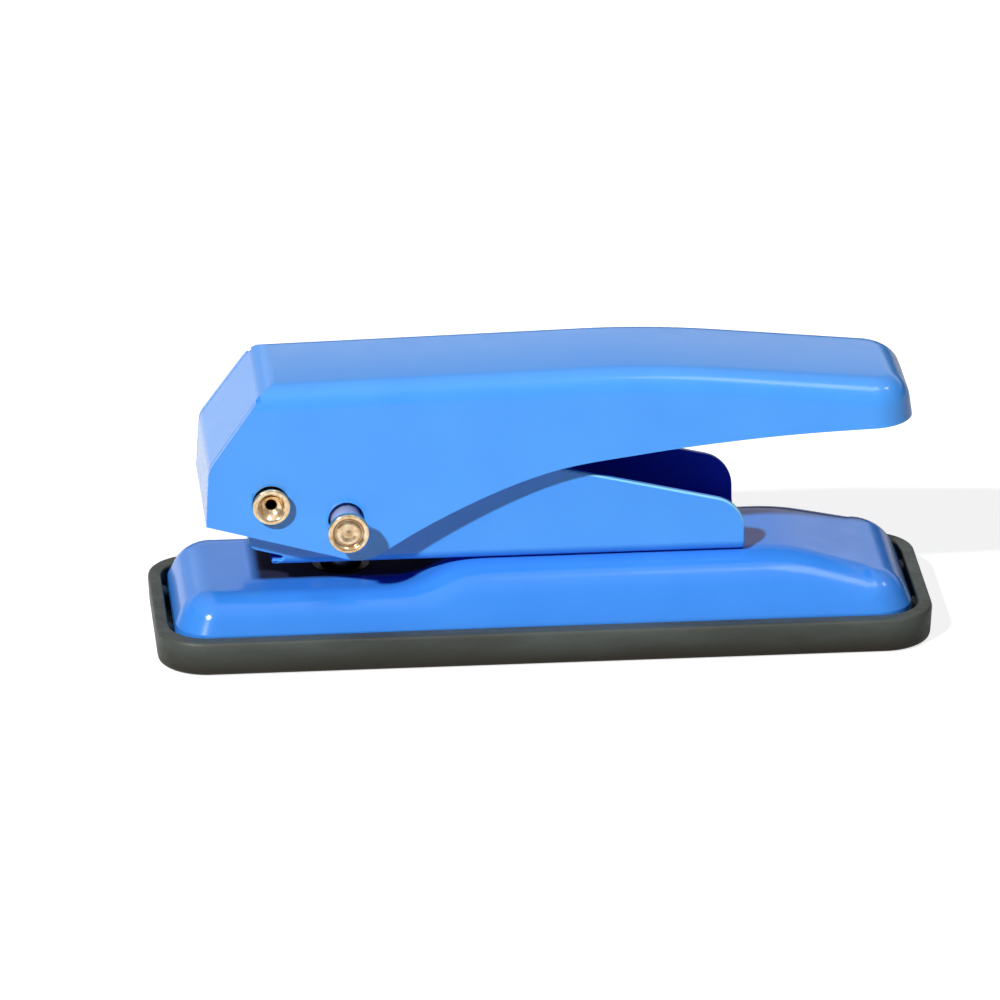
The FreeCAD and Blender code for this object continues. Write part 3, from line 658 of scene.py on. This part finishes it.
def turned(name, profile, centre):
    """Surface of revolution about the line along Y through centre; the profile is (radius, y) points."""
    angle = np.linspace(0, 2 * np.pi, 96, endpoint=False)
    radius, y = np.array(profile).T[:, :, None]
    grid = np.stack([centre[0] + radius * np.cos(angle), y + 0 * angle, centre[1] + radius * np.sin(angle)],
                    axis=-1)
    return skin(name, grid, around=True)


def cad_copy(node, name):
    """Copy of a solid's own mesh, its doubled points merged and its flat triangles joined."""
    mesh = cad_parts[node].data.copy()
    piece = link(name, mesh)
    weld(mesh, outward=False)
    work = bmesh.new()
    work.from_mesh(mesh)
    bmesh.ops.dissolve_limit(work, angle_limit=math.radians(0.5), verts=work.verts, edges=work.edges)
    work.to_mesh(mesh)
    work.free()
    return piece


def dress(piece, material, slot, body, *nodes):
    """Give a piece its material and, if one is named, its body, and let it stand for solids; the argument
    `slot` is not used.
    """
    piece.data.materials.clear()
    piece.data.materials.append(material)
    if body:
        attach(piece, body)
    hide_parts(*nodes)


# Base
def base_deck(x, y):
    """Low deck, two arcs up to the raised deck, then an arc and a straight slope down to the tail."""
    run, rise = (STEP_BACK - STEP_FRONT) / 2, (HIGH_DECK - LOW_DECK) / 2
    bend = (run * run + rise * rise) / (2 * rise)
    up = np.clip(x - STEP_FRONT, 0, run)
    on = np.clip(STEP_BACK - x, 0, run)
    step = LOW_DECK + bend - np.sqrt(bend ** 2 - up ** 2)
    step = np.where(x > STEP_FRONT + run, HIGH_DECK - bend + np.sqrt(bend ** 2 - on ** 2), step)
    over = np.clip(x - TAIL_START, 0, TAIL_BEND * math.sin(TAIL_SLOPE))
    straight = np.clip(x - TAIL_START - TAIL_BEND * math.sin(TAIL_SLOPE), 0, None)
    return step - (TAIL_BEND - np.sqrt(TAIL_BEND ** 2 - over ** 2)) - straight * math.tan(TAIL_SLOPE)


def base_size(z):
    """Walls upright up to the tray's rim, then leaning inwards."""
    inset = np.clip(z - SKIRT_TOP, 0, None) * math.tan(BASE_LEAN)
    return (-BASE_HALF_LENGTH + inset, BASE_HALF_LENGTH - inset, BASE_HALF_WIDTH - inset,
            BASE_CORNER - 0.5 * inset)


def make_base():
    """Outer skin joined along its lower edge to an inner skin one sheet's thickness inside it."""
    stations = plan_stations(along=150)
    skirt = (SKIRT_BOTTOM, SKIRT_MIDDLE, SKIRT_TOP)

    def fillet(x):
        return np.interp(x, BASE_FILLET_X, BASE_FILLET)

    def lower(x):
        return 0 * x + SKIRT_BOTTOM

    outer = tub(stations, base_size, base_deck, lower, fillet, BASE_SPINE, skirt)
    inner = tub(stations, inset_by(base_size, BASE_SHEET), lambda x, y: base_deck(x, y) - BASE_SHEET,
                lower, lambda x: fillet(x) - BASE_SHEET, BASE_SPINE, skirt)
    base = skin("base_shell", np.concatenate([outer[::-1], inner]), around=True)
    neck = DIE_NECK / 2
    bore = [(neck, LOW_DECK - 3), (neck, LOW_DECK - 0.3), (neck + 0.1, LOW_DECK - 0.1),
            (neck + 0.3, LOW_DECK), (neck + 1.5, LOW_DECK + 0.6)]
    cut(base, [drum("die_hole", (DRIVE[0], 0.0), bore, axis="Z")])
    evened(base)
    dress(base, base_enamel, "blue_paint", "base", "base_plate")


# Lever
def lever_top(x, y):
    """Straight from the fold, a gentle arc over the crest, straight down to the end, and crowned across."""
    rise = (CREST_START[1] - LEVER_FRONT_TOP[1]) / (CREST_START[0] - LEVER_FRONT_TOP[0])
    fall = math.tan(TAIL_FALL)
    front = CREST_START[1] + (x - CREST_START[0]) * rise
    back = CREST_END[1] - (x - CREST_END[0]) * fall
    width = CREST_END[0] - CREST_START[0]
    t = np.clip((x - CREST_START[0]) / width, 0, 1)
    crest = ((1 + 2 * t) * (1 - t) ** 2 * CREST_START[1] + t * (1 - t) ** 2 * width * rise
             + t ** 2 * (3 - 2 * t) * CREST_END[1] - t ** 2 * (t - 1) * width * fall)
    along = np.where(x < CREST_START[0], front, np.where(x > CREST_END[0], back, crest))
    return along - CROWN * (y / LEVER_HALF_TOP) ** 2


def lever_size(z):
    """Walls that lean inwards as they rise; the front end is cut away later by the folded profile."""
    rise = z - SIZE_HEIGHT
    side = rise * math.tan(DRAFT)
    return (UNCUT_FRONT + rise * math.tan(END_LEAN), LEVER_BACK - rise * math.tan(END_LEAN),
            LEVER_HALF_TOP - side, LEVER_CORNER - side)


def lever_belly(x):
    """Lower edge: a straight run to the round tip, the tip's arc, then one long curve to the end."""
    slope = (LEVER_TIP[1] - FRONT_FOOT[1]) / (LEVER_TIP[0] - FRONT_FOOT[0])
    centre = (LEVER_TIP[0], LEVER_TIP[1] + TIP_ROUND)
    turn = math.atan(slope)
    first = (centre[0] + TIP_ROUND * math.sin(turn), centre[1] - TIP_ROUND * math.cos(turn))
    last = (centre[0] + TIP_ROUND * math.sin(TIP_CLIMB), centre[1] - TIP_ROUND * math.cos(TIP_CLIMB))
    straight = first[1] + (x - first[0]) * slope
    arc = centre[1] - np.sqrt(np.clip(TIP_ROUND ** 2 - (x - centre[0]) ** 2, 0, None))
    curve = curve_through((last,) + BELLY)(x)
    return np.where(x < first[0], straight, np.where(x < last[0], arc, curve))


def unit(a, b):
    """Direction from a to b in the side view."""
    d = np.array(b) - np.array(a)
    return d / np.linalg.norm(d)


def half_inside(z, gap):
    """Half the distance between the lever's walls at a height, less a gap at each side."""
    return LEVER_HALF_TOP + (SIZE_HEIGHT - z) * math.tan(DRAFT) - LEVER_SHEET / math.cos(DRAFT) - gap


def fold_profile(inset, far):
    """Side view of the front, the inset inside it: over the top, round the fold, down chamfer and front.

    Both ends run on by `far`, the upper one rising so that it leaves the lever's top.
    """
    fall = unit(CHAMFER_FOOT, LEVER_FRONT_TOP)
    front = unit(FRONT_FOOT, CHAMFER_FOOT)
    over = unit(LEVER_FRONT_TOP, CREST_START)
    square = np.array([over[1] + fall[1], -over[0] - fall[0]])
    top = np.array(LEVER_FRONT_TOP) + inset * square * 0.8
    foot = np.array(CHAMFER_FOOT) + inset * np.array([1.0, -0.3])
    path = [top + over * 4.0, top, foot, foot - front * far]
    line = softened(path, (FOLD - inset * 0.7, FOOT_BEND), 12)
    rise = 0.09
    lift = line[0] + np.array([math.cos(rise), math.sin(rise)]) * far
    return np.vstack([lift, line[1:]])


def prism(name, lower, upper):
    """Closed block between two rings with as many points each, for cutting."""
    count = len(lower)
    index = np.arange(count)
    after = np.roll(index, -1)
    quads = np.stack([index, after, after + count, index + count], axis=-1).tolist()
    mesh = bpy.data.meshes.new(name)
    points = np.vstack([lower, upper]) * MM
    mesh.from_pydata(points.tolist(), [], quads + [index[::-1].tolist(), (index + count).tolist()])
    weld(mesh)
    return link(name, mesh)


def front_blade(inset):
    """Block of everything in front of the folded profile, or of the one that lies inside it by the inset."""
    line = fold_profile(inset, 14.0)
    x, z = np.vstack([line, [(FAR_FRONT, line[-1][1]), (FAR_FRONT, line[0][1])]]).T
    faces = [np.stack([x, np.full_like(x, y), z], axis=-1) for y in (-FAR_SIDE, FAR_SIDE)]
    return prism("front_blade", *faces)


def seam_blade(side):
    """Thin leaning block that parts the front flap from one side wall, from the notch down."""
    notch = notch_centre()
    x, z = np.array([(FAR_FRONT, FAR_BELOW), (-44.0, FAR_BELOW), (CHAMFER_FOOT[0] + 3.0, CHAMFER_FOOT[1]),
                     notch, (FAR_FRONT, notch[1])]).T
    faces = [np.stack([x, side * half_inside(z, gap), z], axis=-1)
             for gap in (-SEAM_OVERLAP, SEAM - SEAM_OVERLAP)]
    return prism("seam_blade", *faces)


def notch_centre():
    """Centre of the small round relief at the seam's upper end."""
    return np.array(LEVER_FRONT_TOP) - unit(CHAMFER_FOOT, LEVER_FRONT_TOP) * NOTCH_DROP


def wall_hole(name, centre, radius, side):
    """Cutter for a hole in one side wall, with the outer edge broken."""
    wall = LEVER_HALF_TOP + (SIZE_HEIGHT - centre[1]) * math.tan(DRAFT)
    edge = HOLE_ROUND
    profile = [(radius, wall - 3.0), (radius, wall - edge), (radius + 0.3 * edge, wall - 0.3 * edge),
               (radius + edge, wall + 0.01), (radius + 3.0, wall + 1.5)]
    profile = [(r, side * along) for r, along in profile]
    return drum(name, centre, profile, lean=-side * math.tan(DRAFT))


def make_lever():
    """Block under the outer skin, less a like block one sheet's thickness inside it, less the openings."""
    stations = plan_stations(along=150, across=14, turn=14)

    def fillet(x):
        return np.interp(x, (20.0, 52.0), (LEVER_FILLET, LEVER_FILLET + 0.5))

    outer = tub(stations, lever_size, lever_top, lever_belly, fillet, LEVER_SPINE)
    inner = tub(stations, inset_by(lever_size, LEVER_SHEET), lambda x, y: lever_top(x, y) - LEVER_SHEET,
                lambda x: lever_belly(x) - 4.0, lambda x: fillet(x) - LEVER_SHEET, LEVER_SPINE)
    lever = filled("lever_shell", outer, LEVER_SPINE)
    cut(lever, [front_blade(0.0)])
    cavity = filled("cavity", inner, LEVER_SPINE)
    cut(cavity, [front_blade(LEVER_SHEET)])
    drive = (DRIVE[0], DRIVE[1] + DRIVE_HOLE_LIFT)
    tools = [cavity, wall_hole("near_axle_hole", PIVOT, AXLE_HOLE / 2, -1),
             wall_hole("far_axle_hole", PIVOT, AXLE_SHANK / 2 + AXLE_FIT, 1)]
    for side in (-1, 1):
        tools.append(wall_hole("drive_hole", drive, DRIVE_HOLE / 2, side))
        tools.append(seam_blade(side))
        relief = [(NOTCH / 2, side * 9.15), (NOTCH / 2, side * 30)]
        tools.append(drum("notch", notch_centre(), relief, sides=24))
    cut(lever, tools)
    evened(lever)
    dress(lever, lever_enamel, "blue_paint", "lever", "lever_handle")


# Bracket
def make_frame():
    """Copy of the bracket with its sheet edges rounded."""
    bracket = cad_copy("bridge_frame", "bracket_sheet")
    soft_edges(bracket, BRACKET_EDGE_ROUND, 4)
    dress(bracket, frame_enamel, "blue_paint", "base", "bridge_frame")


# Pins
def make_axle():
    """Rivet axle: near end a rolled tubular rim round a deep tapered bore, far end a low round head."""
    near, far, shank, rim, head = AXLE_NEAR_END, AXLE_FAR_END, AXLE_SHANK / 2, 2.65, 3.2
    path = [(0.0, near + 3.0), (0.5, near + 2.6), (0.72, near + 1.15), (1.35, near + 0.8), (2.0, near + 0.05),
            (rim, near), (rim, near + 0.6), (2.2, near + 0.85), (shank, near + 1.2),
            (shank, far - 1.3), (head, far - 1.3), (head, far - 0.55), (2.6, far - 0.02), (0.0, far)]
    profile = softened(path, [0.2, 0.3, 0.3, 0.25, 0.3, 0.25, 0.1, 0.1, 0.05, 0.1, 0.3, 0.8], 7)
    axle = turned("axle_rivet", profile, PIVOT)
    smooth(axle, ROUND_WORK)
    dress(axle, axle_plate, "nickel_rivet", "base", "pivot_axle")


def make_drive_pin():
    """Drive pin: both ends a flared head with a rounded rim, a ring groove and a shallow dimple."""
    end, shank, rim = DRIVE_PIN_END, DRIVE_SHANK / 2, 2.9
    half = [(0.0, end - 0.3), (0.3, end - 0.42), (0.75, end - 0.5), (1.25, end - 0.22), (1.6, end - 0.3),
            (1.95, end - 0.5), (2.35, end - 0.05), (rim - 0.05, end), (rim, end - 0.45), (rim, end - 1.0),
            (shank, end - 1.5)]
    path = half + [(r, -y) for r, y in reversed(half)]
    profile = softened(path, 0.2, 7)
    pin = turned("drive_pin_turned", profile, DRIVE)
    smooth(pin, ROUND_WORK)
    dress(pin, drive_plate, "nickel_rivet", "lever", "drive_pin")


# Chip tray
GRIP_GAP, GRIP_ROOT = 0.05, 0.6


def grip_rib(end, y):
    """Small upright rib on an end wall: a block whose inner corners are cut back."""
    inner = end * (BASE_HALF_LENGTH + GRIP_GAP)
    outer = end * (TRAY_HALF_LENGTH - GRIP_ROOT)
    half, lead = TRAY_GRIP_WIDTH / 2, 0.4 * end
    ring = np.array([(outer, -half), (inner + lead, -half), (inner, -half + 0.5), (inner, half - 0.5),
                     (inner + lead, half), (outer, half)])
    top = TRAY_FLOOR + TRAY_GRIP_HEIGHT
    shrunk = np.where(np.abs(ring[:, :1]) < abs(outer), ring + [lead * 0.6, 0.0], ring)
    rows = [(ring, TRAY_FLOOR / 2), (ring, top - 0.3), (shrunk, top)]
    rows = [np.column_stack([points[:, 0], points[:, 1] + y, np.full(len(points), z)]) for points, z in rows]
    middle = rows[-1].mean(axis=0)
    below = rows[0].mean(axis=0)
    return skin("grip_rib", np.array([np.broadcast_to(below, rows[0].shape), *rows,
                                      np.broadcast_to(middle, rows[0].shape)]), around=True)


def join(piece, others):
    """Add the meshes of the other pieces to a piece's own and take those pieces away."""
    work = bmesh.new()
    work.from_mesh(piece.data)
    for other in others:
        work.from_mesh(other.data)
        bpy.data.objects.remove(other)
    work.to_mesh(piece.data)
    work.free()


def make_tray():
    """Tray: one closed profile carried round the plan, from under the middle, up outside and back inside.

    Each profile point holds the half length, half width, corner radius and height of one ring. The inner
    half of the near wall bows towards the base: a point moves by the bow times 1 less the square of a, where
    a runs from -1 to 1 along the straight side.
    """
    outer = np.array([TRAY_HALF_LENGTH, TRAY_HALF_WIDTH, TRAY_CORNER])
    foot = outer - TRAY_TAPER
    inner = outer - [TRAY_END_WALL, TRAY_SIDE_WALL, TRAY_CORNER - TRAY_INNER_CORNER]
    line = np.array([TRAY_SPINE, 0.0, 0.0])
    path = [(*line, 0), (*foot, 0), (*outer, TRAY_HEIGHT), (*inner, TRAY_HEIGHT), (*inner, TRAY_FLOOR),
            (*line, TRAY_FLOOR)]
    profile = softened(path, [1.0, 0.85, 0.45, 0.6], 8)
    a, b, c, d = plan_stations(along=60, across=16, turn=16)
    length, width, radius, z = profile.T[:, :, None]
    bow = TRAY_BOW * np.clip((inner[1] + TRAY_BOW_DEPTH - width) / TRAY_BOW_DEPTH, 0, 1) * (1 - a ** 2)
    grid = np.stack([a * (length - radius) + c * radius,
                     b * (width - radius) + d * radius + np.where(d < -0.99, bow * (width > 12), 0.0),
                     np.broadcast_to(z, (len(profile), len(a)))], axis=-1)
    tray = skin("tray_moulding", grid, around=True)
    half = TRAY_GRIP_SPACING / 2
    join(tray, [grip_rib(end, y) for end in (-1, 1) for y in (-half, half)])
    smooth(tray, ROUND_WORK)
    dress(tray, plastic, "tray_plastic", "tray", "chip_tray")


# Return spring
def make_spring():
    """Round wire: a circle carried along the lower leg, the coil and the upper leg.

    The coil is a helix round the sleeve, and both legs leave it along its tangents.
    """
    foot, roof, pivot = np.array(SPRING_FOOT), np.array(SPRING_ROOF), np.array(PIVOT)

    def tangent_angle(point, side):
        away = point - pivot
        return math.atan2(away[1], away[0]) + side * math.acos(COIL_RADIUS / np.linalg.norm(away))

    first, last = tangent_angle(foot, -1), tangent_angle(roof, 1)
    swept = (first - last) % (2 * math.pi) + COIL_TURNS * 2 * math.pi
    angle = first - np.linspace(0, swept, 220)
    y = COIL_START - COIL_PITCH / (2 * math.pi) * (first - angle)
    x, z = pivot[0] + COIL_RADIUS * np.cos(angle), pivot[1] + COIL_RADIUS * np.sin(angle)
    coil = np.stack([x, y, z], axis=-1)
    start = (SPRING_LEG_END[0], y[0], SPRING_LEG_END[1])
    lower = softened([start, (foot[0], y[0], foot[1]), tuple(coil[0])], [3.5], 12)
    upper = np.linspace(coil[-1], (roof[0], y[-1], roof[1]), 16)[1:]
    path = np.vstack([np.linspace(lower[0], lower[1], 10)[:-1], lower[1:-1],
                      np.linspace(lower[-2], lower[-1], 6)[1:-1], coil, upper])
    along = np.gradient(path, axis=0)
    along /= np.linalg.norm(along, axis=1, keepdims=True)
    side = np.cross(along, [0.0, 1.0, 0.0])
    side /= np.linalg.norm(side, axis=1, keepdims=True)
    up = np.cross(side, along)
    turn = np.linspace(0, 2 * np.pi, 16, endpoint=False)
    ring = side[:, None] * np.cos(turn)[:, None] + up[:, None] * np.sin(turn)[:, None]
    tube = path[:, None] + ring * WIRE / 2
    tube = np.concatenate([np.broadcast_to(path[0], tube[:1].shape), tube,
                           np.broadcast_to(path[-1], tube[:1].shape)])
    spring = skin("spring_wire", tube, around=True)
    smooth(spring, ROUND_WORK)
    dress(spring, wire_steel, "spring_wire", None, "return_spring")
    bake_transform(spring)


make_base()
make_lever()
make_frame()
make_axle()
make_drive_pin()
make_tray()
make_spring()

# Pieces that keep the solids' own meshes and get a new finish
kept = {"punch": punch_steel, "die_bush": hardened, "guide_bush": ground, "frame_rivets": rivet_plate,
        "axle_sleeve": ground, "pivot_washers": black}
for name, material in kept.items():
    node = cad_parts[name]
    node.data.materials.clear()
    node.data.materials.append(material)


# Light and surroundings
WHITE = (1.0, 1.0, 1.0, 1.0)
SUN_TRAVEL, SUN_STRENGTH, SUN_ANGLE = (0.77, 1.0, -1.04), 3.6, math.radians(3.0)
SOFT_BOXES = (("overhead", (0.34, -0.33, 1.12), (0.42, 0.26), 1.3),
              ("tail", (0.77, -0.05, 0.92), (0.14, 0.1), 0.6))

# Strengths by direction: in gloss by height, then ramps, each a start, an end and the strengths there
GLOSS_STOPS = ((0.0, 0.03), (0.2, 0.03), (0.25, 1.15), (0.34, 0.9), (0.41, 0.5), (0.65, 0.5), (1.0, 1.1))
GLOSS_LEFT, GLOSS_NEAR = (-0.18, -0.32, 0.0, 0.6), (0.2, -0.2, 0.0, 0.4)
GLOSS_FAR, GLOSS_HIGH = (0.4, 0.75, 0.2, 1.0), (0.45, 0.65, 0.0, 1.0)
SKY = (0.35, 1.0, 0.0, 0.03)

# Floor: its level in metres, its glow to the camera, and in gloss a ramp along X in metres
FLOOR_LEVEL, FLOOR_GLOW, FLOOR_GLOSS = -0.0002, 0.8, (-0.06, 0.08, 0.55, 0.05)


def world_light():
    """White to the camera, panels above the horizon to gloss, and to all else a faint light from above."""
    world = bpy.data.worlds.new("surroundings")
    bpy.context.scene.world = world
    world.use_nodes = True
    nodes, links = world.node_tree.nodes, world.node_tree.links
    nodes.clear()

    def white(strength=None):
        """White background of strength 1, or of the strength that a node gives."""
        node = nodes.new("ShaderNodeBackground")
        node.inputs["Color"].default_value = WHITE
        if strength:
            links.new(strength, node.inputs["Strength"])
        return node.outputs[0]

    def mixed(*sources):
        """The second source where the first is 0, and the third where it is 1."""
        node = nodes.new("ShaderNodeMixShader")
        for source, socket in zip(sources, node.inputs):
            links.new(source, socket)
        return node.outputs[0]

    path = nodes.new("ShaderNodeLightPath").outputs
    parts = nodes.new("ShaderNodeSeparateXYZ")
    links.new(nodes.new("ShaderNodeTexCoord").outputs["Generated"], parts.inputs[0])
    x, y, z = parts.outputs
    level = combined(world, "MAXIMUM", stepped(world, z, GLOSS_STOPS), ramp(world, x, *GLOSS_LEFT))
    reach = combined(world, "MAXIMUM", ramp(world, y, *GLOSS_FAR), ramp(world, z, *GLOSS_HIGH))
    level = combined(world, "MULTIPLY", level, reach)
    level = combined(world, "MAXIMUM", level, ramp(world, y, *GLOSS_NEAR))
    unseen = mixed(path["Is Glossy Ray"], white(ramp(world, z, *SKY)), white(level))
    seen = combined(world, "MAXIMUM", path["Is Camera Ray"], path["Is Transmission Ray"])
    links.new(mixed(seen, unseen, white()), nodes.new("ShaderNodeOutputWorld").inputs[0])


def aim(lamp, towards):
    """Turn a lamp so that its light travels in the given direction."""
    lamp.rotation_euler = mathutils.Vector(towards).to_track_quat("-Z", "Y").to_euler()


def lamps():
    """A key sun from the punching end above the near side, and soft boxes overhead and beyond the tail."""
    key = bpy.data.lights.new("key", "SUN")
    key.energy = SUN_STRENGTH
    key.angle = SUN_ANGLE
    aim(link("key", key), SUN_TRAVEL)
    for name, place, size, power in SOFT_BOXES:
        box = bpy.data.lights.new(name, "AREA")
        box.shape = "RECTANGLE"
        box.size, box.size_y = size
        box.energy = power
        soft = link(name, box)
        soft.location = place
        aim(soft, -np.array(place))


def floor():
    """Pale floor that glows to the camera and in gloss; its glow in gloss falls from left to right."""
    mesh = bpy.data.meshes.new("floor")
    corners = [(x, y, FLOOR_LEVEL) for x, y in ((-3, -3), (3, -3), (3, 3), (-3, 3))]
    mesh.from_pydata(corners, [], [(0, 1, 2, 3)])
    sheet = link("floor", mesh)
    finish = Finish("pale_floor", (0.55, 0.55, 0.55, 1.0))
    finish.roughness(finish.noise(30.0), 0.85, 0.95)
    nodes, links, material = finish.nodes, finish.links, finish.material
    path = nodes.new("ShaderNodeLightPath").outputs
    parts = nodes.new("ShaderNodeSeparateXYZ")
    links.new(finish.place, parts.inputs[0])
    to_gloss = combined(material, "MULTIPLY", path["Is Glossy Ray"],
                        ramp(material, parts.outputs["X"], *FLOOR_GLOSS))
    to_camera = ramp(material, path["Is Camera Ray"], 0.0, 1.0, 0.0, FLOOR_GLOW)
    glow = nodes.new("ShaderNodeEmission")
    links.new(combined(material, "ADD", to_gloss, to_camera), glow.inputs["Strength"])
    both = nodes.new("ShaderNodeAddShader")
    links.new(finish.shader.outputs[0], both.inputs[0])
    links.new(glow.outputs[0], both.inputs[1])
    links.new(both.outputs[0], nodes["Material Output"].inputs["Surface"])
    sheet.data.materials.append(material)


world_light()
lamps()
floor()

bpy.context.scene.view_settings.view_transform = "Standard"
